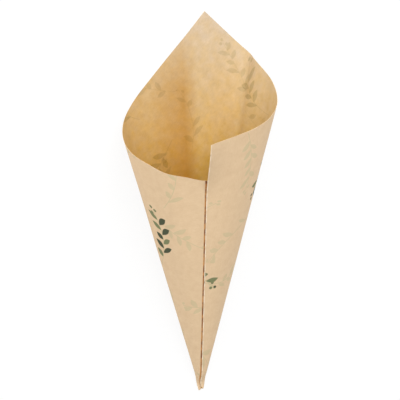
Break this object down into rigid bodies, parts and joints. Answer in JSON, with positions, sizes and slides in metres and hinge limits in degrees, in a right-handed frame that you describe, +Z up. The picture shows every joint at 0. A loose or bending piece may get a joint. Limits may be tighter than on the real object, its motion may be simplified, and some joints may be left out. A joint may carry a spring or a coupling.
{
  "type": "paper cone bag",
  "caption": "Cone bag rolled from one kraft paper sheet, lying on its back, open at a slanted mouth with a peak.",
  "frame": {"origin": "on the surface that the bag lies on, under the middle of its box", "axes": "+Y from the mouth towards the tip, +Z up from the back that it lies on towards the seam, +X to the right when looking from the mouth towards the tip"},
  "size_m": [0.1362, 0.3374, 0.0986],
  "materials": {
    "kraft_paper": "matte"
  },
  "bodies": {
    "root": {"cone_sheet": "kraft_paper"}
  },
  "joints": []
}
